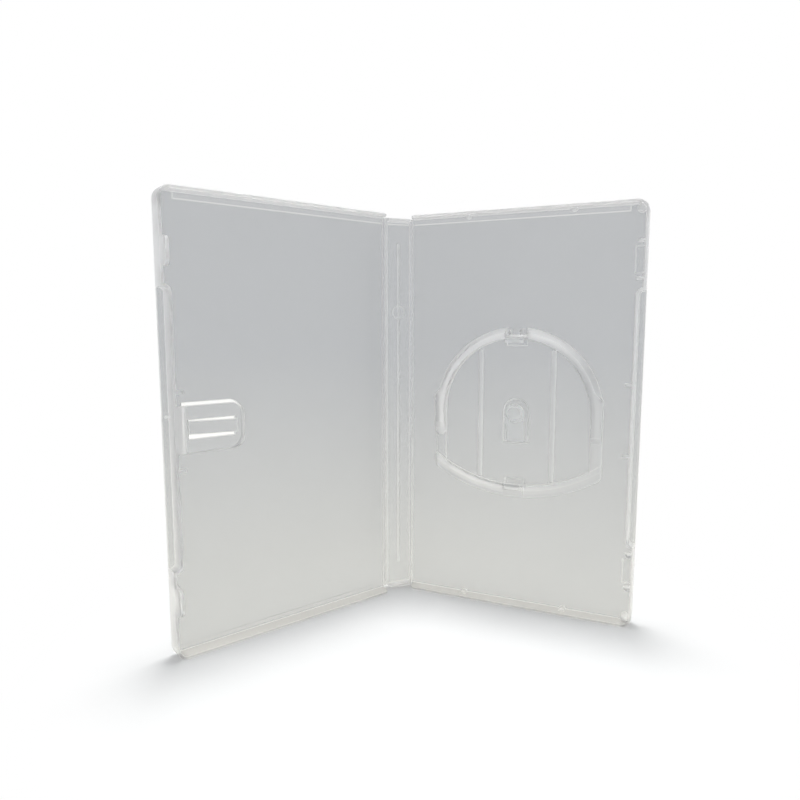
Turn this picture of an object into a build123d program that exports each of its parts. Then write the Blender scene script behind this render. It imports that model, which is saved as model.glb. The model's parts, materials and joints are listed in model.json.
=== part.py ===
from build123d import *
import math
import os

# Hinged translucent case for a small disc cartridge, standing open like a book on its bottom edges.
# Both covers and the spine are one moulding in the real case. It is cut here only where it bends.
# Each piece is drawn with the case laid flat: width u runs along X from a hinge axis, height v along Z,
# and depth n goes inwards along -Y from the outer face. The covers are then folded to the rest pose.

# Closed case
case_height = 177.0
case_width = 104.0
case_thickness = 14.0
wall = 1.1
rim_gap = 0.3
corner_radius = 4.5
outer_edge_radius = 0.7
running_gap = 0.3

# Rest pose: how far each hinge is folded from the flat-open case, in degrees
rear_fold = 46.0
front_fold = 16.5

# Living hinges: a thin web between two panel edges that are cut back to let them fold square
web_thickness = 0.35
web_reach = 0.8
end_wall_setback = 2.0
end_wall_rounding = 3.0

# Spine: its end walls tuck inside those of the covers
spine_end_gap = 0.7
spine_wall_depth = 5.2
spine_wall_rounding = 2.0
spine_rib_width = 0.6
spine_rib_depth = 0.45
spine_rib_end_gap = 12.5
gate_mark_radius = 2.9
gate_mark_depth = 0.2
gate_mark_offset = 45.0

# Thumb notch along the opening edges, with locating pips on its wall
notch_depth = 2.6
notch_length = 106.0
notch_radius = 2.0
notch_pip_spacing = 29.6
notch_pip_width = 1.1
notch_pip_length = 2.7
notch_pip_low = 4.7
lip_rib_offset = 5.2
lip_rib_width = 0.8
lip_rib_depth = 1.6

# Snap tongues on the front cover, guide ribs and shallow pockets for them in the back cover
snap_offset = 65.6
snap_height = 10.8
snap_thickness = 1.1
snap_depth = 9.0
snap_clearance = 0.5
snap_rounding = 2.8
snap_bead_radius = 0.5
snap_guide_gap = 1.6
snap_guide_width = 0.9
snap_guide_length = 3.0
snap_guide_depth = 3.6
snap_pocket_width = 3.6
snap_pocket_depth = 0.4

# Posts and pips along the inside of the back cover's rim
corner_post_radius = 1.5
corner_post_inset = 3.0
corner_post_depth = 5.0
edge_pip_near = 28.5
edge_pip_far = 74.6
edge_pip_radius = 1.2
edge_pip_depth = 4.2

# Disc cartridge and the holder that it snaps into
disc_width = 65.0
disc_height = 65.4
disc_thickness = 4.2
disc_clearance = 0.3
foot_clearance = 0.7
holder_offset_u = -0.5
holder_offset_v = 0.7
ring_width = 4.6
ring_crest = 2.7
ring_skin = 0.9
ring_depth = 4.4
leg_shoulder_outer = 6.4
leg_shoulder_inner = 11.5
leg_drop = 12.5
leg_end_radius = 2.1
leg_slope = 2.8
left_crest_gap = 6.0
right_crest_gap = 3.3
side_wall_depth = 2.7
side_wall_lap = 2.5
sill_depth = 1.6
bottom_curve_radius = 62.6
bottom_wall_width = 5.4
bottom_wall_crest = 2.1
bottom_wall_depth = 3.1
bottom_corner_radius = 3.5
rail_spacing = 32.6
rail_width = 1.6
rail_depth = 0.8
rail_end_gap = 2.9
rail_top_gap = 1.2

# Fixed lip on a buttress at the foot of the holder, and the recess under it
lip_width = 6.8
lip_reach = 1.3
lip_post = 1.2
lip_thickness = 0.9
buttress_width = 8.9
buttress_foot = 5.2
lip_recess_height = 2.8
recess_skin = 0.4
disc_play = 0.2

# Sprung latch in the gap at the top of the ring
latch_gap = 9.4
latch_width = 7.9
latch_slit = 0.6
latch_reach = 2.0
latch_thickness = 1.1
latch_hook = 1.1
latch_crest = 1.2
latch_crest_back = 0.3
latch_recess_height = 3.4
latch_rib_spacing = 4.8
latch_rib_width = 0.9
latch_rib_length = 2.8
latch_rib_low = 2.3
latch_rib_high = 5.4

# Sprung tongue that leans out of the holder floor, with a round pad that the disc presses back
tongue_length = 13.7
tongue_radius = 4.2
tongue_thickness = 0.7
tongue_slot = 1.4
tongue_lean = 12.5
tongue_skin = 0.3
pad_radius = 4.4
pad_slope = 1.1

# Sprung booklet clip over a cut-out in the front cover
clip_offset = 0.3
clip_length = 23.3
clip_height = 18.1
clip_thickness = 1.1
clip_corner_radius = 4.8
clip_depth = 4.4
clip_root_length = 3.8
clip_root_rise = 1.0
clip_cut_margin = 0.75
clip_window_gap = 0.8
clip_finger_length = 18.4
clip_finger_height = 5.1
clip_finger_slot = 1.1
clip_finger_tilt = 12.5

# Round root of each sprung piece in its seat
root_clearance = 0.04

# Clear film sleeve welded round the outside, open along the top for a paper insert
film = 0.2
film_pocket = 0.25
film_top_gap = 3.5
film_edge_gap = 1.0
film_weld = 2.0
film_ear_width = 6.4

# Worked-out sizes
mid_height = case_height / 2
rim_depth = (case_thickness - rim_gap) / 2
fold_edge = wall + running_gap
spine_low = wall + running_gap
spine_high = case_height - spine_low
notch_face = case_width - notch_depth
holder_u = case_width / 2 + holder_offset_u
dome_v = mid_height + holder_offset_v
pocket_radius = disc_width / 2 + disc_clearance
ring_foot_radius = pocket_radius + ring_width
pocket_top = dome_v + pocket_radius
pocket_bottom = pocket_top - disc_clearance - disc_height - foot_clearance
bottom_centre = pocket_bottom + bottom_curve_radius
leg_low = dome_v - leg_drop
leg_top = dome_v + leg_shoulder_inner
disc_seat_depth = wall + rail_depth
hook_depth = disc_seat_depth + disc_thickness + disc_play
latch_axis_v = pocket_top + latch_thickness / 2
latch_axis_n = wall / 2
tongue_axis_v = dome_v - tongue_length
tongue_axis_n = wall - tongue_thickness / 2
clip_axis_u = notch_face - wall - clip_root_length
clip_axis_n = clip_depth + clip_thickness / 2
clip_v = mid_height + clip_offset
overcut = 1.0


def face(*points):
    """Flat face inside a closed run of straight edges."""
    return make_face(Polyline(*points, close=True))


def span(u_low, u_high, v_low, v_high):
    """Rectangle between two corners, in width and height."""
    return Pos((u_low + u_high) / 2, (v_low + v_high) / 2) * Rectangle(u_high - u_low, v_high - v_low)


def centred(width, v_low, v_high):
    """Rectangle of a given width about the upright middle line of the disc holder."""
    return span(holder_u - width / 2, holder_u + width / 2, v_low, v_high)


def plate(sketch, n_low, n_high):
    """Solid of a sketch in width and height, from one depth to another."""
    return extrude(Plane.XZ.offset(n_low) * sketch, n_high - n_low)


def upright(sketch, v_low, v_high):
    """Solid of a sketch in width and -depth, from one height to another."""
    return extrude(Plane.XY.offset(v_low) * sketch, v_high - v_low)


def across(sketch, u_low, u_high):
    """Solid of a sketch in height and depth, from one width to another."""
    side = Plane(origin=(u_low, 0, 0), x_dir=(0, 0, 1), z_dir=(1, 0, 0))
    return extrude(side * sketch, u_high - u_low)


def roller(length, v, n, radius):
    """Cylinder along the width, on the middle line of the disc holder at a height and a depth."""
    return Pos(holder_u, -n, v) * Rot(0, 90, 0) * Cylinder(radius, length)


def post(u, v, radius, n_low, n_high):
    """Round post that stands on the panel."""
    return plate(Pos(u, v) * Circle(radius), n_low, n_high)


def hollow(section):
    """Inside of a hat section that is drawn one skin below the outer face."""
    return offset(section, -ring_skin, kind=Kind.INTERSECTION)


def cover_tray():
    """Panel, rim and inset thumb notch that both covers share."""
    outline = span(web_reach, case_width, 0, case_height)
    outline = fillet(outline.vertices().group_by(Axis.X)[-1], corner_radius)
    notch = Pos(case_width, mid_height) * RectangleRounded(2 * notch_depth, notch_length, notch_radius)
    rim_outline = outline - notch
    inside = offset(rim_outline, -wall, kind=Kind.INTERSECTION)
    inside += span(0, case_width / 2, wall, case_height - wall)
    inside += span(0, end_wall_setback, 0, case_height)
    rim = plate(rim_outline - inside, 0, rim_depth)
    rim = fillet(
        rim.edges().filter_by(Axis.Z).group_by(Axis.Y)[0].group_by(Axis.X)[0], end_wall_rounding
    )
    panel = plate(outline, 0, wall)
    outer_edges = panel.faces().sort_by(Axis.Y)[-1].edges().filter_by(
        lambda edge: edge.center().X > web_reach + overcut / 2
    )
    panel = fillet(outer_edges, outer_edge_radius)
    shoulder = plate(outline, outer_edge_radius, rim_depth)
    tray = panel + (rim & (shoulder + panel))
    fold_cut = face(
        (web_reach - overcut, -web_thickness),
        (web_reach, -web_thickness),
        (fold_edge, -wall),
        (web_reach - overcut, -wall),
    )
    return tray - upright(fold_cut, -overcut, case_height + overcut)


def notch_pips():
    """Small ribs on the inner side of the notch wall, at equal heights above and below the middle."""
    inner = notch_face - wall
    pips = []
    for side in (-1, 1):
        v = mid_height + side * notch_pip_spacing / 2
        half = notch_pip_width / 2
        outline = span(inner - notch_pip_length, inner, v - half, v + half)
        pips.append(plate(outline, notch_pip_low, rim_depth))
    return pips


def hat_section(radius, crest, width, depth, bottom):
    """Section of a holder wall: upright towards the disc, sloping on the outside."""
    return face(
        (radius, bottom),
        (radius, depth),
        (radius + crest, depth),
        (radius + width, wall),
        (radius + width, bottom),
    )


def ring_section(bottom):
    """Section of the dome over the disc."""
    return hat_section(pocket_radius, ring_crest, ring_width, ring_depth, bottom)


def bottom_section(bottom):
    """Section of the curved foot wall."""
    return hat_section(
        bottom_curve_radius, bottom_wall_crest, bottom_wall_width, bottom_wall_depth, bottom
    )


def dome(section):
    """Half turn of a section over the top of the holder."""
    start = Plane(origin=(holder_u, 0, dome_v), x_dir=(1, 0, 0), z_dir=(0, 0, -1))
    return revolve(start * section, Axis((holder_u, 0, dome_v), (0, -1, 0)), 180)


def leg_outline(side):
    """Plan of the left or right leg: slanting shoulder above, round end below."""
    inner = holder_u + side * pocket_radius
    outer = holder_u + side * ring_foot_radius
    corners = [
        (inner, leg_low), (outer, leg_low), (outer, dome_v + leg_shoulder_outer), (inner, leg_top)
    ]
    outline = face(*corners[::side])
    return fillet(outline.vertices().group_by(Axis.Y)[0], leg_end_radius)


def leg_side(crest_gap, bottom):
    """Side view of a leg: its crest slopes down to the height of the side wall."""
    return face(
        (leg_top, bottom),
        (leg_top, ring_depth),
        (leg_low + crest_gap, ring_depth),
        (leg_low + crest_gap - leg_slope, side_wall_depth),
        (leg_low, side_wall_depth),
        (leg_low, bottom),
    )


def bottom_circle(radius):
    """Circle about the far centre of the curved foot wall."""
    return Pos(holder_u, bottom_centre) * Circle(radius)


def bottom_arc(section):
    """Curved wall at the foot of the holder, swept about its far centre."""
    half = math.degrees(math.asin((ring_foot_radius + overcut) / bottom_curve_radius))
    centre = Pos(holder_u, 0, bottom_centre)
    start = Plane(origin=(0, 0, 0), x_dir=(1, 0, 0), z_dir=(0, 0, -1))
    swept = revolve(start * section, Axis((0, 0, 0), (0, -1, 0)), 2 * half)
    return centre * Rot(0, 90 + half, 0) * swept


def bottom_outline():
    """Plan of the holder's foot between its sides, with rounded lower corners."""
    outline = centred(2 * ring_foot_radius, 0, leg_low)
    outline &= bottom_circle(bottom_curve_radius + bottom_wall_width)
    return fillet(outline.vertices().group_by(Axis.Y)[0], bottom_corner_radius)


def side_outline(side):
    """Plan of a low side wall, from the crest of the foot wall to under the leg."""
    inner = holder_u + side * pocket_radius
    outer = holder_u + side * ring_foot_radius
    outline = span(min(inner, outer), max(inner, outer), 0, leg_low + side_wall_lap)
    return outline & bottom_circle(bottom_curve_radius + bottom_wall_crest / 2)


def holder_walls():
    """Solid and hollow of the hat-section walls round the disc."""
    solids = dome(ring_section(0))
    solids += bottom_arc(bottom_section(0)) & plate(bottom_outline(), 0, bottom_wall_depth)
    voids = dome(hollow(ring_section(-ring_skin)))
    foot_span = centred(2 * (pocket_radius - ring_skin), 0, leg_low)
    voids += bottom_arc(hollow(bottom_section(-ring_skin))) & plate(foot_span, -overcut, rim_depth)
    u_low = holder_u - ring_foot_radius
    u_high = holder_u + ring_foot_radius
    left = (-1, left_crest_gap, sill_depth)
    right = (1, right_crest_gap, side_wall_depth)
    for side, crest_gap, depth in (left, right):
        outline = leg_outline(side)
        solids += plate(outline, 0, ring_depth) & across(leg_side(crest_gap, 0), u_low, u_high)
        inside = plate(offset(outline, -ring_skin, kind=Kind.INTERSECTION), -overcut, rim_depth)
        voids += inside & across(hollow(leg_side(crest_gap, -ring_skin)), u_low, u_high)
        solids += plate(side_outline(side), 0, depth)
    wall_low = bottom_centre - math.sqrt(bottom_curve_radius**2 - ring_foot_radius**2)
    wall_inside = span(
        u_high - ring_width + ring_skin, u_high - ring_skin, wall_low, leg_low - ring_skin
    )
    voids += plate(wall_inside, -overcut, side_wall_depth - ring_skin)
    gap = centred(latch_gap, dome_v, case_height)
    closed_gap = centred(latch_gap + 2 * ring_skin, dome_v, case_height)
    return solids - plate(gap, wall, rim_depth), voids - plate(closed_gap, -overcut, rim_depth)


def rails():
    """Two upright rails that carry the disc above the floor."""
    low = pocket_bottom + rail_end_gap
    half = rail_spacing / 2
    high = dome_v + math.sqrt(pocket_radius**2 - half**2) - rail_top_gap
    lifted = []
    for side in (-1, 1):
        u = holder_u + side * half
        outline = span(u - rail_width / 2, u + rail_width / 2, low, high)
        lifted.append(plate(outline, wall, disc_seat_depth))
    return lifted


def foot_lip():
    """Buttress with a lip that holds the lower edge of the disc."""
    post_low = pocket_bottom - lip_post
    buttress = face(
        (pocket_bottom - buttress_foot, wall),
        (post_low, hook_depth),
        (pocket_bottom, hook_depth),
        (pocket_bottom, wall),
    )
    lip = face(
        (post_low, hook_depth - lip_thickness),
        (post_low, hook_depth + lip_thickness),
        (pocket_bottom, hook_depth + lip_thickness),
        (pocket_bottom + lip_reach, hook_depth + lip_thickness / 2),
        (pocket_bottom + lip_reach, hook_depth),
        (pocket_bottom, hook_depth),
        (pocket_bottom, hook_depth - lip_thickness),
    )
    half = buttress_width / 2
    post = across(buttress, holder_u - half, holder_u + half)
    return post + across(lip, holder_u - lip_width / 2, holder_u + lip_width / 2)


def tongue_outline(margin, v_low):
    """Arched outline of the tongue, or of the slot round it."""
    half = tongue_radius + margin
    return centred(2 * half, v_low, dome_v) + Pos(holder_u, dome_v) * Circle(half)


def floor_cuts():
    """Recesses round the tongue and under the lip and latch, and round seats in the holder floor."""
    lip_recess = centred(buttress_width, pocket_bottom, pocket_bottom + lip_recess_height)
    latch_room = latch_width + 2 * latch_slit
    latch_recess = centred(latch_room, pocket_top - latch_recess_height, latch_axis_v)
    cuts = plate(lip_recess + latch_recess, recess_skin, wall + overcut)
    cuts += plate(tongue_outline(tongue_slot, tongue_axis_v), tongue_skin, wall + overcut)
    lean_room = centred(latch_room, latch_axis_v, pocket_top + latch_thickness + running_gap)
    cuts += plate(lean_room, latch_axis_n, wall + overcut)
    cuts += roller(latch_room, latch_axis_v, latch_axis_n, latch_thickness / 2 + root_clearance)
    tongue_room = 2 * (tongue_radius + tongue_slot)
    cuts += roller(tongue_room, tongue_axis_v, tongue_axis_n, tongue_thickness / 2 + root_clearance)
    return cuts


def snap_places():
    """Heights of the two snap tongues."""
    return mid_height - snap_offset, mid_height + snap_offset


def make_back_cover():
    """Back cover with the disc holder, snap guides and rim pips."""
    solids, voids = holder_walls()
    cover = cover_tray() + solids + rails() + foot_lip() + notch_pips()
    inner = case_width - wall
    for v in snap_places():
        for side in (-1, 1):
            rib_v = v + side * (snap_height / 2 + snap_guide_gap + snap_guide_width / 2)
            rib = face(
                (inner, -wall),
                (inner, -wall - snap_guide_depth),
                (inner - snap_guide_length / 2, -wall - snap_guide_depth),
                (inner - snap_guide_length, -wall),
            )
            cover += upright(rib, rib_v - snap_guide_width / 2, rib_v + snap_guide_width / 2)
        pocket = span(inner - snap_pocket_width, inner, v - snap_height / 2, v + snap_height / 2)
        cover -= plate(pocket, wall - snap_pocket_depth, wall)
    for v in (corner_post_inset, case_height - corner_post_inset):
        cover += post(case_width - corner_post_inset, v, corner_post_radius, wall, corner_post_depth)
    for u in (edge_pip_near, edge_pip_far):
        for v in (wall, case_height - wall):
            pip = post(u, v, edge_pip_radius, wall, edge_pip_depth)
            cover += pip & plate(span(0, case_width, 0, case_height), 0, rim_depth)
    return cover - voids - floor_cuts()


def make_disc_latch():
    """Upright sprung hook that holds the upper edge of the disc, with two ribs behind it."""
    top = hook_depth + latch_hook
    back = pocket_top + latch_thickness
    hook = face(
        (back, latch_axis_n),
        (back, top - latch_hook / 2),
        (pocket_top + latch_crest_back, top),
        (pocket_top + latch_crest_back - latch_crest, top),
        (pocket_top - latch_reach, hook_depth + latch_hook / 3),
        (pocket_top - latch_reach, hook_depth),
        (pocket_top, hook_depth),
        (pocket_top, latch_axis_n),
    )
    u_low = holder_u - latch_width / 2
    u_high = holder_u + latch_width / 2
    latch = across(hook, u_low, u_high)
    latch += roller(latch_width, latch_axis_v, latch_axis_n, latch_thickness / 2)
    for side in (-1, 1):
        u = holder_u + side * latch_rib_spacing / 2
        rib = face(
            (back, latch_rib_low),
            (back + latch_rib_length, latch_rib_low),
            (back + latch_rib_length / 2, latch_rib_high),
            (back, latch_rib_high),
        )
        latch += across(rib, u - latch_rib_width / 2, u + latch_rib_width / 2)
    return latch


def make_disc_tongue():
    """Arched sprung tongue with a raised round pad, leaning out of the floor about its root."""
    tongue = plate(tongue_outline(0, tongue_axis_v), wall - tongue_thickness, wall)
    tongue += roller(2 * tongue_radius, tongue_axis_v, tongue_axis_n, tongue_thickness / 2)
    pad = Rot(90, 0, 0) * Cone(pad_radius, pad_radius - pad_slope, rail_depth)
    tongue += Pos(holder_u, -wall - rail_depth / 2, dome_v) * pad
    root = Pos(holder_u, -tongue_axis_n, tongue_axis_v)
    return root * Rot(tongue_lean, 0, 0) * root.inverse() * tongue


def clip_outline(margin, u_high):
    """Blunt D outline of the booklet clip, or of the cut-out behind it."""
    half = clip_height / 2 + margin
    tip = clip_axis_u - clip_length - margin
    outline = span(tip, u_high, clip_v - half, clip_v + half)
    return fillet(outline.vertices().group_by(Axis.X)[0], clip_corner_radius + margin)


def make_front_cover():
    """Front cover with snap tongues, the clip's root bracket and the cut-out under the clip."""
    cover = cover_tray() + notch_pips()
    inner = case_width - wall
    outer_u = inner - snap_clearance
    inner_u = outer_u - snap_thickness
    for v in snap_places():
        side = span(v - snap_height / 2, v + snap_height / 2, wall, snap_depth)
        side = fillet(side.vertices().group_by(Axis.Y)[-1], snap_rounding)
        cover += across(side, inner_u, outer_u)
        cover += plate(span(outer_u, inner, v - snap_height / 2, v + snap_height / 2), wall, rim_depth)
        bead_v = v - snap_height / 2 + snap_rounding
        bead_n = snap_depth - snap_rounding
        bead = Pos(inner_u, -bead_n, bead_v) * Sphere(snap_bead_radius)
        cover += bead
    wall_u = notch_face - wall
    bracket = face(
        (wall_u, -clip_depth),
        (wall_u, -clip_depth - clip_thickness - clip_root_rise),
        (clip_axis_u, -clip_depth - clip_thickness),
        (clip_axis_u, -clip_depth),
    )
    bracket = upright(bracket, clip_v - clip_height / 2, clip_v + clip_height / 2)
    seat = Pos(clip_axis_u, -clip_axis_n, clip_v) * Cylinder(
        clip_thickness / 2 + root_clearance, clip_height + overcut
    )
    cover += bracket - seat
    rib_v = mid_height + lip_rib_offset
    lip_rib = face(
        (notch_face, -wall), (notch_face, -wall - lip_rib_depth), (case_width - wall, -wall)
    )
    cover += upright(lip_rib, rib_v - lip_rib_width / 2, rib_v + lip_rib_width / 2)
    return cover - plate(clip_outline(clip_cut_margin, clip_axis_u), -overcut, wall + overcut)


def make_booklet_clip():
    """D-shaped sprung clip with a finger that leans towards the panel."""
    plane_high = clip_depth + clip_thickness
    clip = plate(clip_outline(0, clip_axis_u), clip_depth, plane_high)
    clip += Pos(clip_axis_u, -clip_axis_n, clip_v) * Cylinder(clip_thickness / 2, clip_height)
    tip_u = clip_axis_u - clip_window_gap
    root_u = tip_u - clip_finger_length
    half = clip_finger_height / 2
    window = span(root_u, tip_u, clip_v - half - clip_finger_slot, clip_v + half + clip_finger_slot)
    clip -= plate(window, clip_depth - overcut, plane_high + overcut)
    finger = plate(
        span(-clip_thickness, clip_finger_length - clip_finger_slot, clip_v - half, clip_v + half),
        -clip_thickness / 2,
        clip_thickness / 2,
    )
    clip += Pos(root_u, -clip_axis_n, 0) * Rot(0, 0, clip_finger_tilt) * finger
    return clip


def make_spine():
    """Spine panel with tapered hinge edges, a fine middle rib and two end walls."""
    section = face(
        (-web_reach, 0),
        (-web_reach, -web_thickness),
        (-fold_edge, -wall),
        (fold_edge - case_thickness, -wall),
        (web_reach - case_thickness, -web_thickness),
        (web_reach - case_thickness, 0),
    )
    spine = upright(section, spine_end_gap, case_height - spine_end_gap)
    end = span(fold_edge - case_thickness, -fold_edge, -spine_wall_depth, -web_thickness)
    end = fillet(end.vertices().group_by(Axis.Y)[0], spine_wall_rounding)
    for low in (spine_low, spine_high - wall):
        spine += upright(end, low, low + wall)
    middle = -case_thickness / 2
    rib = span(middle - spine_rib_width / 2, middle + spine_rib_width / 2, -wall - spine_rib_depth, -wall)
    spine += upright(rib, spine_rib_end_gap, case_height - spine_rib_end_gap)
    gate_v = mid_height + gate_mark_offset
    return spine + post(middle, gate_v, gate_mark_radius, wall, wall + gate_mark_depth)


def hinge_strip(fold, inner, outer, v_low, v_high):
    """Bent strip between a panel along +X and the next panel, folded inwards from -X.

    Inner and outer are measured outwards from the outer faces of the panels.
    """
    radius = web_reach / math.tan(math.radians(fold) / 2)
    section = span(radius + inner, radius + outer, v_low, v_high)
    bent = revolve(Plane.XZ * section, Axis.Z, fold)
    return Pos(web_reach, -radius, 0) * Rot(0, 0, 90) * bent


def make_hinge_web(fold):
    """Thin web of a living hinge, flush with the outer faces of the panels."""
    return hinge_strip(fold, -web_thickness, 0, spine_end_gap, case_height - spine_end_gap)


def make_film_fold(fold):
    """Film where it bends round the outside of a hinge."""
    return hinge_strip(
        fold, film_pocket, film_pocket + film, film_edge_gap + film_weld, case_height - film_top_gap
    )


def film_sheet(outline, pocket):
    """Film with a shallow pocket between it and the panel, welded where there is no pocket."""
    return plate(outline, -film_pocket - film, 0) - plate(pocket, -film_pocket, 0)


def make_sleeve_cover():
    """Film over one cover: cut low along the top, with a taller ear near the opening edge."""
    edge = case_width - film_edge_gap
    top = case_height - film_top_gap
    ear = span(edge - film_ear_width, edge, mid_height, case_height - film_edge_gap)
    outline = span(web_reach, edge, film_edge_gap, top) + ear
    corners = outline.vertices().group_by(Axis.X)[-1]
    outline = fillet(corners, corner_radius - film_edge_gap)
    pocket = span(web_reach - overcut, edge - film_weld, film_edge_gap + film_weld, case_height)
    return film_sheet(outline, pocket)


def make_sleeve_spine():
    """Film over the spine, welded along its foot."""
    low = web_reach - case_thickness
    outline = span(low, -web_reach, film_edge_gap, case_height - film_top_gap)
    pocket = span(low - overcut, -web_reach + overcut, film_edge_gap + film_weld, case_height)
    return film_sheet(outline, pocket)


# Fold the flat case to its rest pose
spine_place = Rot(0, 0, rear_fold)
front_hinge_place = spine_place * Pos(-case_thickness, 0, 0)
front_place = front_hinge_place * Rot(0, 0, front_fold)

nodes = {
    "back_cover": make_back_cover(),
    "disc_latch": make_disc_latch(),
    "disc_tongue": make_disc_tongue(),
    "sleeve_back": make_sleeve_cover(),
    "rear_living_hinge": make_hinge_web(rear_fold),
    "sleeve_rear_fold": make_film_fold(rear_fold),
    "spine": spine_place * make_spine(),
    "sleeve_spine": spine_place * make_sleeve_spine(),
    "front_living_hinge": front_hinge_place * make_hinge_web(front_fold),
    "sleeve_front_fold": front_hinge_place * make_film_fold(front_fold),
    "front_cover": front_place * mirror(make_front_cover(), Plane.YZ),
    "booklet_clip": front_place * mirror(make_booklet_clip(), Plane.YZ),
    "sleeve_front": front_place * mirror(make_sleeve_cover(), Plane.YZ),
}

# Stand the case with the middle of its box over the origin
box = Compound(list(nodes.values())).bounding_box()
stand = Pos(-(box.min.X + box.max.X) / 2, -(box.min.Y + box.max.Y) / 2, -box.min.Z)

os.makedirs("parts", exist_ok=True)
for name, shape in nodes.items():
    export_step(stand * shape, f"parts/{name}.step")

# Joint axes in the standing frame
axes = {
    "rear hinge": stand.position,
    "front hinge": (stand * front_hinge_place).position,
    "latch": (stand * Pos(holder_u, -latch_axis_n, latch_axis_v)).position,
    "tongue": (stand * Pos(holder_u, -tongue_axis_n, tongue_axis_v)).position,
    "clip": (stand * front_place * Pos(-clip_axis_u, -clip_axis_n, clip_v)).position,
}
for name, place in axes.items():
    print(name, "axis at", [round(value, 3) for value in place])
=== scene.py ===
import json
import math

import bmesh
import bpy
from mathutils import Matrix, Vector


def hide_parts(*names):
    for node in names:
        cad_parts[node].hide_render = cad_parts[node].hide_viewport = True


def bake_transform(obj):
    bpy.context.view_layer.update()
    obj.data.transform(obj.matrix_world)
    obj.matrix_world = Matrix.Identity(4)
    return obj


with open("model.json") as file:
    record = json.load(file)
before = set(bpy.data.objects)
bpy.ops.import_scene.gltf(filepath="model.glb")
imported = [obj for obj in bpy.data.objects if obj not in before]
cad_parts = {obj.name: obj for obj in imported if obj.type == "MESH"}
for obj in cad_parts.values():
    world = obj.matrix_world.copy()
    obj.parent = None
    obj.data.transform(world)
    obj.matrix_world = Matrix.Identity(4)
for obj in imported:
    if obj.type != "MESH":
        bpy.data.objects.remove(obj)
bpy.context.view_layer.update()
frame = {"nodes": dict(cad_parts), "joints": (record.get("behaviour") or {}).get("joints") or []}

MM = 0.001

# Sizes shared with the CAD source, in millimetres and degrees
CASE_HEIGHT = 177.0
REAR_FOLD = 46.0
FRONT_FOLD = 16.5
WEB_REACH = 0.8
WEB_THICKNESS = 0.35
WEB_LOW = 0.7
WEB_HIGH = CASE_HEIGHT - WEB_LOW
FILM = 0.2
FILM_POCKET = 0.25
FILM_DROP = 3.5
FILM_TOP = CASE_HEIGHT - FILM_DROP
FILM_LOW = 3.0
FILM_EAR = 96.6
FILM_EAR_TOP = 175.8
CLIP_MIDDLE = 88.8
CLIP_END = 73.2
CLIP_CORNER = 4.8
CLIP_STRAIGHT = 4.25
HOLDER_MIDDLE = (51.5, 89.2)

# Fineness of the bending strips, and how far the film is drawn in from the plastic, in millimetres
BEND_STEPS = 10
FILM_SHRINK = 0.01

# Tones of the plastic, and the heights in millimetres at which its walls have theirs: the latch
# and tongue tone and the wall tones are painted light, the edge and line tones painted highlights
PANEL_TONE = (0.593, 0.603, 0.614)
# painted light: a paler copy of the plastic's tone for the latch and tongue, lifting the shade
# where their layers stack
SPRING_PAINTED_LIGHT_TONE = (0.92, 0.93, 0.94)
# painted highlight: near-white tone along the edges
EDGE_HIGHLIGHT_TONE = (0.99, 0.99, 0.99)
# painted highlight: pale line where the film's top cut edge catches light
FILM_LINE_HIGHLIGHT_TONE = (0.78, 0.78, 0.78)
LAMP_TINT = (0.4, 0.4, 0.4)
CLOUD_SPREAD = 0.015
# painted light: walls paler than the panels, toned down near the floor and at the top edge
WALL_PAINTED_LIGHT = ((0.0, 0.57), (1.6, 0.59), (3.2, 0.92), (168.0, 0.94), (175.5, 0.64))
# painted light on the spine's walls, toned down at the top edge
SPINE_PAINTED_LIGHT = ((0.0, 0.85), (168.0, 0.94), (175.5, 0.68))

# Where the walls, edges and lines of the plastic are, in millimetres, cosines of a lean and shares
RAISED_FROM = 1.7
RAISED_TO = 2.1
RAISED_SHARE = 0.85
WALL_LEAN = (0.97, 0.4)
EDGE_LEAN = (0.985, 0.86)
EDGE_RADIUS = 0.5
EDGE_SAMPLES = 4
FILM_LINE = 0.27
CLIP_LAP = 1.0
HOLDER_REACH = 43.0
HOLDER_ACROSS = ((25.0, 0.75), (75.0, 0.15))
HOLDER_UP = ((105.0, 0.0), (122.0, 0.85))

# Clearness, gloss and grain of the plastic
CLEAR = 0.85
WALL_CLEAR = 0.8
EDGE_CLEAR = 0.8
PLASTIC_INDEX = 1.08
ROUGHNESS = 0.22
ROUGHNESS_SPREAD = 0.04
WALL_ROUGHNESS = 0.7
COAT = 0.6
COAT_ROUGHNESS = 0.2
CLOUD_SCALE = 14.0
GRAIN_SCALE = 900.0
GRAIN_STRENGTH = 0.02
GRAIN_DEPTH = 0.05

# Look of the film
FILM_TONE = (0.93, 0.935, 0.94)
FILM_LAMP_TINT = (0.97, 0.97, 0.97)
FILM_INDEX = 1.3
FILM_ROUGHNESS = (0.06, 0.2)
SCUFF_STRETCH = (40.0, 40.0, 900.0)
SCUFF_RANGE = (0.4, 0.75)

# Studio, in metres and watts
WHITE = (1.0, 1.0, 1.0)
FLOOR_SIZE = 6.0
FLOOR_TONE = (0.86, 0.86, 0.855)
# painted pool of light: glow of the floor near the case, as seen through the plastic
FLOOR_NEAR_GLOW = (1.36, 1.33, 1.23)
FLOOR_NEAR_SPAN = 0.35
FLOOR_NEAR_OFFSET = 0.25
FLOOR_NEAR_LEAST = 0.11
SHADOW_FADE = (0.08, 0.148)
WORLD_TONE = (0.95, 0.98, 1.0)
WORLD_LEVEL = 0.48
LAMPS = (
    # name, place, target, size, power, colour
    ("overhead", (-0.045, 0.115, 1.1), (0, 0, 0), 0.24, 8.8, WHITE),
    ("front_fill", (0.5, -0.8, 0.3), (0, 0, 0.05), 0.8, 2.0, (1, 0.99, 0.97)),
)

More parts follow.
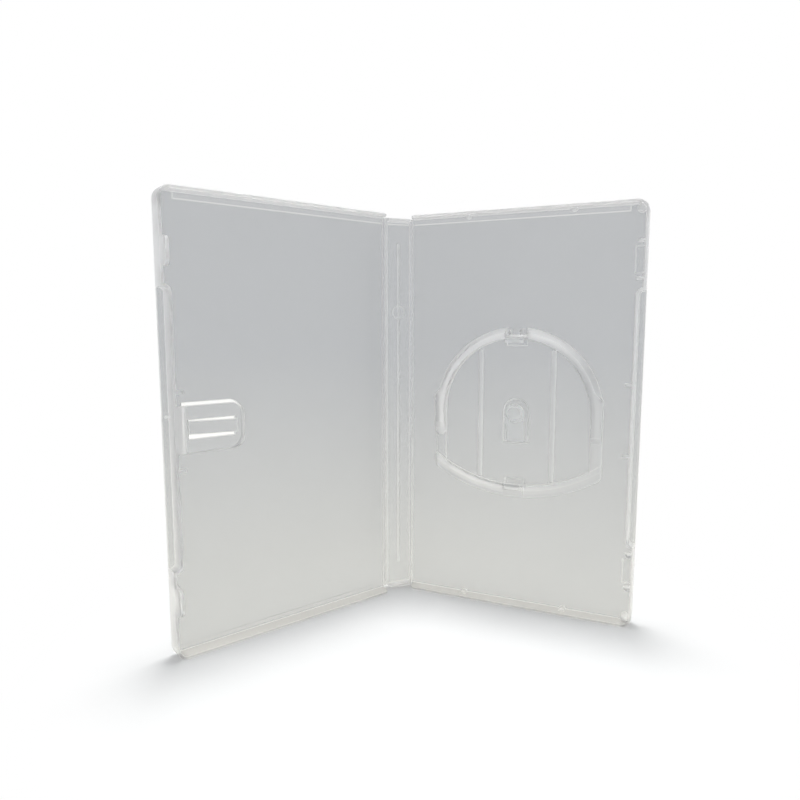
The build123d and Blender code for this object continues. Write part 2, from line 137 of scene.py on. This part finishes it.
# Camera that matches the photograph
CAMERA_PLACE = (0.09539, -0.22725, 0.1283)
CAMERA_TURN = (math.radians(83.13), 0.0, math.radians(23.97))
CAMERA_LENS = 28.58
CAMERA_SENSOR = 36

joint_at = {j["name"]: Vector(j["pos_m"]) for j in frame["joints"]}


def hinge_frame(joint, turn):
    """Matrix from the flat layout of a hinge, in millimetres, to the standing case in metres."""
    place = joint_at[joint]
    return (
        Matrix.Translation((place.x, place.y, 0))
        @ Matrix.Rotation(math.radians(turn), 4, "Z")
        @ Matrix.Scale(MM, 4)
    )


BACK = hinge_frame("rear_hinge", 0)
SPINE = hinge_frame("rear_hinge", REAR_FOLD)
FRONT_HINGE = hinge_frame("front_hinge", REAR_FOLD)
FRONT = hinge_frame("front_hinge", REAR_FOLD + FRONT_FOLD)


# Shader nodes


class Graph:
    """Small helper that adds and links the shader nodes of a material or a world."""

    def __init__(self, owner):
        owner.use_nodes = True
        self.owner = owner
        self.tree = owner.node_tree
        self.tree.nodes.clear()

    def add(self, kind, **values):
        """New node with its properties set."""
        node = self.tree.nodes.new(kind)
        for key, value in values.items():
            setattr(node, key, value)
        return node

    def feed(self, socket, value):
        """Link an input to another socket, or set it to a plain value."""
        if isinstance(value, bpy.types.NodeSocket):
            self.tree.links.new(value, socket)
        else:
            socket.default_value = value

    def put(self, node, **inputs):
        """Feed inputs of a node by name, with _ for a space."""
        for name, value in inputs.items():
            self.feed(node.inputs[name.replace("_", " ")], value)
        return node


def blend_colour(g, factor, first, second):
    """Colour between two colours, which are sockets or plain values."""
    node = g.add("ShaderNodeMix", data_type="RGBA")
    g.feed(node.inputs["Factor"], factor)
    for name, value in (("A", first), ("B", second)):
        plain = not isinstance(value, bpy.types.NodeSocket)
        g.feed(node.inputs[name], (*value, 1) if plain else value)
    return node.outputs["Result"]


def ramp(g, value, start, end, first=0.0, last=1.0, kind="LINEAR"):
    """Number that goes from first to last while a value goes from start to end."""
    node = g.add("ShaderNodeMapRange", interpolation_type=kind)
    g.put(node, Value=value, From_Min=start, From_Max=end, To_Min=first, To_Max=last)
    return node.outputs["Result"]


def blend_value(g, factor, first, second):
    """Number between two numbers, which are sockets or plain values."""
    return ramp(g, factor, 0.0, 1.0, first, second)


def blend_shader(g, factor, first, second):
    """Mix of the outputs of two shaders."""
    node = g.add("ShaderNodeMixShader")
    for socket, value in zip(node.inputs, (factor, first, second)):
        g.feed(socket, value)
    return node.outputs[0]


def dot(g, first, second):
    """Dot product of two vectors, which are sockets or plain values."""
    node = g.add("ShaderNodeVectorMath", operation="DOT_PRODUCT")
    for socket, value in zip(node.inputs, (first, second)):
        g.feed(socket, value)
    return node.outputs["Value"]


def calc(g, operation, first, second=0.0):
    """One sum on numbers, which are sockets or plain values."""
    node = g.add("ShaderNodeMath", operation=operation)
    for socket, value in zip(node.inputs, (first, second)):
        g.feed(socket, value)
    return node.outputs[0]


def distance(g, value, middle):
    """How far a value is from a middle value in millimetres."""
    return calc(g, "ABSOLUTE", calc(g, "SUBTRACT", value, middle * MM))


def band(g, value, middle, half):
    """1 within a half width of a middle value, both in millimetres, fading to 0 at its sides."""
    return ramp(g, distance(g, value, middle), half * MM, 0.5 * half * MM)


# Materials


def film_edge_highlight(g, reach, height):
    """1 along the painted highlight of the film's top cut edge, which turns up beside the corner
    of a cover.
    """
    along = calc(g, "LESS_THAN", reach, FILM_EAR * MM)
    above = calc(g, "GREATER_THAN", height, FILM_TOP * MM)
    below = calc(g, "LESS_THAN", height, FILM_EAR_TOP * MM)
    beside = calc(g, "MULTIPLY", above, below)
    level = calc(g, "MULTIPLY", band(g, height, FILM_TOP, FILM_LINE), along)
    upright = calc(g, "MULTIPLY", band(g, reach, FILM_EAR, FILM_LINE), beside)
    return calc(g, "MAXIMUM", level, upright)


def wall_mask(g, normal, inward, depth, share):
    """1 on faces that stand up from a panel, a share on flat faces raised from it, 0 elsewhere."""
    raised = ramp(g, depth, RAISED_FROM * MM, RAISED_TO * MM, last=share)
    upright = ramp(g, calc(g, "ABSOLUTE", dot(g, normal, inward)), *WALL_LEAN)
    return calc(g, "MAXIMUM", raised, upright)


def painted_wall_light(g, height, light_by_height):
    """Painted light on the walls: a paler tone by their height, from a list of heights and tones.
    """
    node = g.add("ShaderNodeValToRGB")
    stops = node.color_ramp.elements
    for _ in light_by_height[2:]:
        stops.new(0.5)
    for stop, (at, tone) in zip(stops, light_by_height):
        stop.position = at / CASE_HEIGHT
        stop.color = (tone, tone, tone, 1)
    g.put(node, Fac=ramp(g, height, 0.0, CASE_HEIGHT * MM))
    return node.outputs["Color"]


def soften_holder(g, wall, reach, height):
    """Wall mask with less of the painted wall light round the disc holder, least low on its far
    side.
    """
    beside = distance(g, reach, HOLDER_MIDDLE[0])
    above = distance(g, height, HOLDER_MIDDLE[1])
    inside = calc(g, "LESS_THAN", calc(g, "MAXIMUM", beside, above), HOLDER_REACH * MM)
    kept = []
    for value, ((start, first), (end, last)) in ((reach, HOLDER_ACROSS), (height, HOLDER_UP)):
        kept.append(ramp(g, value, start * MM, end * MM, first, last))
    return calc(g, "MULTIPLY", wall, blend_value(g, inside, 1.0, calc(g, "MAXIMUM", *kept)))


def painted_light_clip_end(g, wall, reach, height):
    """Wall mask that also takes in the free end of the clip, where the panel shows through it, so
    painted light lifts the shade there.
    """
    off = distance(g, height, CLIP_MIDDLE)
    past = calc(g, "MAXIMUM", calc(g, "SUBTRACT", off, CLIP_STRAIGHT * MM), 0.0)
    left = calc(g, "SUBTRACT", (CLIP_CORNER * MM) ** 2, calc(g, "POWER", past, 2.0))
    bow = calc(g, "SQRT", calc(g, "MAXIMUM", left, 0.0))
    edge = calc(g, "SUBTRACT", (CLIP_END + CLIP_CORNER) * MM, bow)
    lap = calc(g, "LESS_THAN", calc(g, "SUBTRACT", reach, edge), CLIP_LAP * MM)
    return calc(g, "MAXIMUM", wall, lap)


def edge_mask(g):
    """1 along edges, where a normal rounded over them leans away from the face, 0 elsewhere."""
    rounded = g.add("ShaderNodeBevel", samples=EDGE_SAMPLES)
    g.put(rounded, Radius=EDGE_RADIUS * MM)
    face = g.add("ShaderNodeNewGeometry")
    along = calc(g, "ABSOLUTE", dot(g, rounded.outputs["Normal"], face.outputs["Normal"]))
    return ramp(g, along, *EDGE_LEAN)


def lamp_light_through(g, shader, clear, tint):
    """Surface of a shader that also lets lamp light straight through, as far as it is clear."""
    paths = g.add("ShaderNodeLightPath")
    straight = g.put(g.add("ShaderNodeBsdfTransparent"), Color=(*tint, 1))
    share = calc(g, "MULTIPLY", paths.outputs["Is Shadow Ray"], clear)
    surface = blend_shader(g, share, shader.outputs["BSDF"], straight.outputs["BSDF"])
    g.put(g.add("ShaderNodeOutputMaterial"), Surface=surface)


def moulded(name, tone, place=None, share=0.0, light_by_height=None, adjust=None):
    """Milky moulded plastic with faint flow clouds, fine tool grain and an uneven gloss.

    Its edges carry a painted highlight, a paler tone; with a place, so does the line where the
    film on its outside ends, and the walls that stand up from that panel carry painted light, as
    an adjusting function leaves them.
    """
    g = Graph(bpy.data.materials.new(name))
    shader = g.add("ShaderNodeBsdfPrincipled")
    coords = g.add("ShaderNodeTexCoord")
    point = coords.outputs["Object"]
    cloud = g.add("ShaderNodeTexNoise")
    g.put(cloud, Vector=point, Scale=CLOUD_SCALE, Detail=2.0, Roughness=0.4)
    colour = blend_colour(
        g,
        cloud.outputs["Fac"],
        [c * (1 - CLOUD_SPREAD) for c in tone],
        [c * (1 + CLOUD_SPREAD) for c in tone],
    )
    clear = CLEAR
    haze = 0.0
    if place is not None:
        height = g.put(g.add("ShaderNodeSeparateXYZ"), Vector=point).outputs["Z"]
        from_hinge = g.add("ShaderNodeVectorMath", operation="SUBTRACT")
        g.feed(from_hinge.inputs[0], point)
        g.feed(from_hinge.inputs[1], place @ Vector((0, 0, 0)))
        across = (place.to_3x3() @ Vector((1, 0, 0))).normalized()
        inward = (place.to_3x3() @ Vector((0, -1, 0))).normalized()
        reach = calc(g, "ABSOLUTE", dot(g, from_hinge.outputs["Vector"], across))
        depth = dot(g, from_hinge.outputs["Vector"], inward)
        # painted highlight along the film's top cut edge
        colour = blend_colour(g, film_edge_highlight(g, reach, height), colour, FILM_LINE_HIGHLIGHT_TONE)
        wall = wall_mask(g, coords.outputs["Normal"], inward, depth, share)
        haze = wall
        if adjust is not None:
            wall = adjust(g, wall, reach, height)
        # painted light: walls and raised faces blend towards a paler tone by height
        colour = blend_colour(g, wall, colour, painted_wall_light(g, height, light_by_height))
        clear = blend_value(g, wall, CLEAR, WALL_CLEAR)
    edge = edge_mask(g)
    # painted highlight: edges blend towards a near-white tone
    colour = blend_colour(g, edge, colour, EDGE_HIGHLIGHT_TONE)
    clear = blend_value(g, edge, clear, EDGE_CLEAR)
    grain = g.add("ShaderNodeTexNoise")
    g.put(grain, Vector=point, Scale=GRAIN_SCALE, Detail=2.0, Roughness=0.6)
    uneven = grain.outputs["Fac"]
    bump = g.add("ShaderNodeBump")
    g.put(bump, Height=uneven, Strength=GRAIN_STRENGTH, Distance=GRAIN_DEPTH * MM)
    gloss = blend_value(g, uneven, ROUGHNESS - ROUGHNESS_SPREAD, ROUGHNESS + ROUGHNESS_SPREAD)
    gloss = blend_value(g, calc(g, "MAXIMUM", edge, haze), gloss, WALL_ROUGHNESS)
    g.put(shader, Base_Color=colour, Transmission_Weight=clear, Roughness=gloss)
    g.put(shader, IOR=PLASTIC_INDEX, Coat_Weight=COAT, Coat_Roughness=COAT_ROUGHNESS)
    g.put(shader, Normal=bump.outputs["Normal"])
    lamp_light_through(g, shader, clear, LAMP_TINT)
    return g.owner


def clear_film(name):
    """Clear soft film with long faint scuffs."""
    g = Graph(bpy.data.materials.new(name))
    shader = g.add("ShaderNodeBsdfPrincipled")
    coords = g.add("ShaderNodeTexCoord")
    stretch = g.add("ShaderNodeMapping")
    g.put(stretch, Vector=coords.outputs["Object"], Scale=SCUFF_STRETCH)
    scuff = g.add("ShaderNodeTexNoise")
    g.put(scuff, Vector=stretch.outputs["Vector"], Scale=1.0, Detail=4.0)
    gloss = ramp(g, scuff.outputs["Fac"], *SCUFF_RANGE, *FILM_ROUGHNESS)
    g.put(shader, Base_Color=(*FILM_TONE, 1), Transmission_Weight=1.0)
    g.put(shader, Roughness=gloss, IOR=FILM_INDEX)
    lamp_light_through(g, shader, 1.0, FILM_LAMP_TINT)
    return g.owner


def dress(piece, material):
    """Give a CAD solid one material."""
    piece.data.materials.clear()
    piece.data.materials.append(material)


WEB_PLASTIC = moulded("web_plastic", PANEL_TONE)
FILM_CLEAR = clear_film("clear_film")

MOULDINGS = (
    # CAD node, place, tone, share of the painted wall light on raised faces, painted wall light by
    # height, adjusting function
    ("back_cover", BACK, PANEL_TONE, RAISED_SHARE, WALL_PAINTED_LIGHT, soften_holder),
    # painted light: the latch and tongue take the paler painted tone
    ("disc_latch", BACK, SPRING_PAINTED_LIGHT_TONE, 0.0, WALL_PAINTED_LIGHT, None),
    ("disc_tongue", BACK, SPRING_PAINTED_LIGHT_TONE, 0.0, WALL_PAINTED_LIGHT, None),
    ("spine", SPINE, PANEL_TONE, RAISED_SHARE, SPINE_PAINTED_LIGHT, None),
    ("front_cover", FRONT, PANEL_TONE, RAISED_SHARE, WALL_PAINTED_LIGHT, None),
    # painted light: the clip's free end takes the paler wall tone
    ("booklet_clip", FRONT, PANEL_TONE, 0.0, WALL_PAINTED_LIGHT, painted_light_clip_end),
)
for cad_node, place, tone, share, light_by_height, adjust in MOULDINGS:
    plastic = moulded(f"{cad_node}_plastic", tone, place, share, light_by_height, adjust)
    dress(frame["nodes"][cad_node], plastic)
for cad_node in ("sleeve_back", "sleeve_front", "sleeve_spine"):
    film_node = frame["nodes"][cad_node]
    dress(film_node, FILM_CLEAR)
    part_off = film_node.modifiers.new("part_off", "DISPLACE")
    part_off.strength = -FILM_SHRINK * MM
    part_off.mid_level = 0.0


# Hinges: strips drawn bent at the fold between two bodies


def bend_point(fold, part, offset):
    """Point of a hinge's arc after a part of its fold, moved outwards, in the flat layout."""
    radius = WEB_REACH / math.tan(math.radians(fold) / 2)
    angle = math.radians(90 + fold * part)
    reach = radius + offset
    return WEB_REACH + reach * math.cos(angle), reach * math.sin(angle) - radius


def bent_strip(name, place, fold, inner, outer, low, high, material):
    """Strip bent round the outside of a hinge, in the flat layout of that hinge."""
    parts = [i / BEND_STEPS for i in range(BEND_STEPS + 1)]
    outline = [bend_point(fold, part, outer) for part in parts]
    outline += [bend_point(fold, part, inner) for part in reversed(parts)]
    mesh = bmesh.new()
    lower = [mesh.verts.new(place @ Vector((x, y, low))) for x, y in outline]
    upper = [mesh.verts.new(place @ Vector((x, y, high))) for x, y in outline]
    count = len(outline)
    for i in range(count):
        j = (i + 1) % count
        mesh.faces.new((lower[i], lower[j], upper[j], upper[i]))
    for i in range(BEND_STEPS):
        a, b, c, d = i, i + 1, count - 2 - i, count - 1 - i
        mesh.faces.new((upper[a], upper[b], upper[c], upper[d]))
        mesh.faces.new((lower[d], lower[c], lower[b], lower[a]))
    bmesh.ops.recalc_face_normals(mesh, faces=mesh.faces)
    data = bpy.data.meshes.new(name)
    mesh.to_mesh(data)
    mesh.free()
    data.materials.append(material)
    piece = bpy.data.objects.new(name, data)
    bpy.context.scene.collection.objects.link(piece)
    return piece


WEB_SECTION = (-WEB_THICKNESS, 0, WEB_LOW, WEB_HIGH)
FOLD_SECTION = (FILM_POCKET, FILM_POCKET + FILM, FILM_LOW, FILM_TOP)
HINGES = (
    # side, place, fold, body on one side, body on the other
    ("rear", BACK, REAR_FOLD, "back", "spine"),
    ("front", FRONT_HINGE, FRONT_FOLD, "spine", "front"),
)
for side, place, fold, near, far in HINGES:
    web = bent_strip(f"{side}_web", place, fold, *WEB_SECTION, WEB_PLASTIC)
    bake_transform(web)
    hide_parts(f"{side}_living_hinge")
    bend = bent_strip(f"{side}_film_fold", place, fold, *FOLD_SECTION, FILM_CLEAR)
    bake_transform(bend)
    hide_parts(f"sleeve_{side}_fold")


# Studio


def floor_material():
    """White floor that keeps the shadows near the case and meets the white background further off.

    Seen through the plastic it is white too, with a painted pool of light: it glows a little
    warmer and brighter than white close to the case.
    """
    g = Graph(bpy.data.materials.new("floor"))
    paths = g.add("ShaderNodeLightPath")
    through = paths.outputs["Is Transmission Ray"]
    coords = g.add("ShaderNodeTexCoord")
    length = g.add("ShaderNodeVectorMath", operation="LENGTH")
    g.feed(length.inputs[0], coords.outputs["Object"])
    away = length.outputs["Value"]
    far = ramp(g, away, *SHADOW_FADE, kind="SMOOTHSTEP")
    plain = calc(g, "MULTIPLY", paths.outputs["Is Camera Ray"], far)
    white = calc(g, "MAXIMUM", calc(g, "MAXIMUM", plain, through), paths.outputs["Is Glossy Ray"])
    # painted pool of light: floor glow rising towards the case for rays through the plastic
    reach = calc(g, "DIVIDE", FLOOR_NEAR_SPAN, calc(g, "ADD", away, FLOOR_NEAR_OFFSET))
    near_glow = blend_colour(g, ramp(g, reach, FLOOR_NEAR_LEAST, 1.0), WHITE, FLOOR_NEAR_GLOW)
    diffuse = g.put(g.add("ShaderNodeBsdfDiffuse"), Color=(*FLOOR_TONE, 1))
    glow = g.add("ShaderNodeEmission")
    g.put(glow, Color=blend_colour(g, through, WHITE, near_glow), Strength=1.0)
    surface = blend_shader(g, white, diffuse.outputs[0], glow.outputs[0])
    g.put(g.add("ShaderNodeOutputMaterial"), Surface=surface)
    return g.owner


def studio_world():
    """World that is white behind the case and lights it at a lower level."""
    g = Graph(bpy.data.worlds.new("studio"))
    paths = g.add("ShaderNodeLightPath")
    white = g.put(g.add("ShaderNodeBackground"), Color=(*WHITE, 1), Strength=1.0)
    ambient = g.put(g.add("ShaderNodeBackground"), Color=(*WORLD_TONE, 1), Strength=WORLD_LEVEL)
    seen = calc(
        g, "MAXIMUM", paths.outputs["Is Camera Ray"], paths.outputs["Is Transmission Ray"]
    )
    shown = calc(g, "MAXIMUM", seen, paths.outputs["Is Glossy Ray"])
    surface = blend_shader(g, shown, ambient.outputs[0], white.outputs[0])
    g.put(g.add("ShaderNodeOutputWorld"), Surface=surface)
    return g.owner


def softbox(name, place, target, size, power, colour):
    """Square area lamp turned towards a point."""
    data = bpy.data.lights.new(name, "AREA")
    data.shape = "SQUARE"
    data.size = size
    data.energy = power
    data.color = colour
    lamp = bpy.data.objects.new(name, data)
    lamp.location = place
    lamp.rotation_euler = (Vector(target) - Vector(place)).to_track_quat("-Z", "Y").to_euler()
    lamp.visible_transmission = False
    bpy.context.scene.collection.objects.link(lamp)


floor_mesh = bpy.data.meshes.new("floor")
half = FLOOR_SIZE / 2
floor_corners = [(-half, -half, 0), (half, -half, 0), (half, half, 0), (-half, half, 0)]
floor_mesh.from_pydata(floor_corners, [], [(0, 1, 2, 3)])
floor_mesh.materials.append(floor_material())
floor = bpy.data.objects.new("floor", floor_mesh)
bpy.context.scene.collection.objects.link(floor)

bpy.context.scene.world = studio_world()
for lamp in LAMPS:
    softbox(*lamp)

camera_data = bpy.data.cameras.new("camera")
camera_data.sensor_width = CAMERA_SENSOR
camera_data.lens = CAMERA_LENS
camera = bpy.data.objects.new("camera", camera_data)
camera.location = CAMERA_PLACE
camera.rotation_euler = CAMERA_TURN
bpy.context.scene.collection.objects.link(camera)
bpy.context.scene.camera = camera
bpy.context.scene.view_settings.view_transform = "Standard"
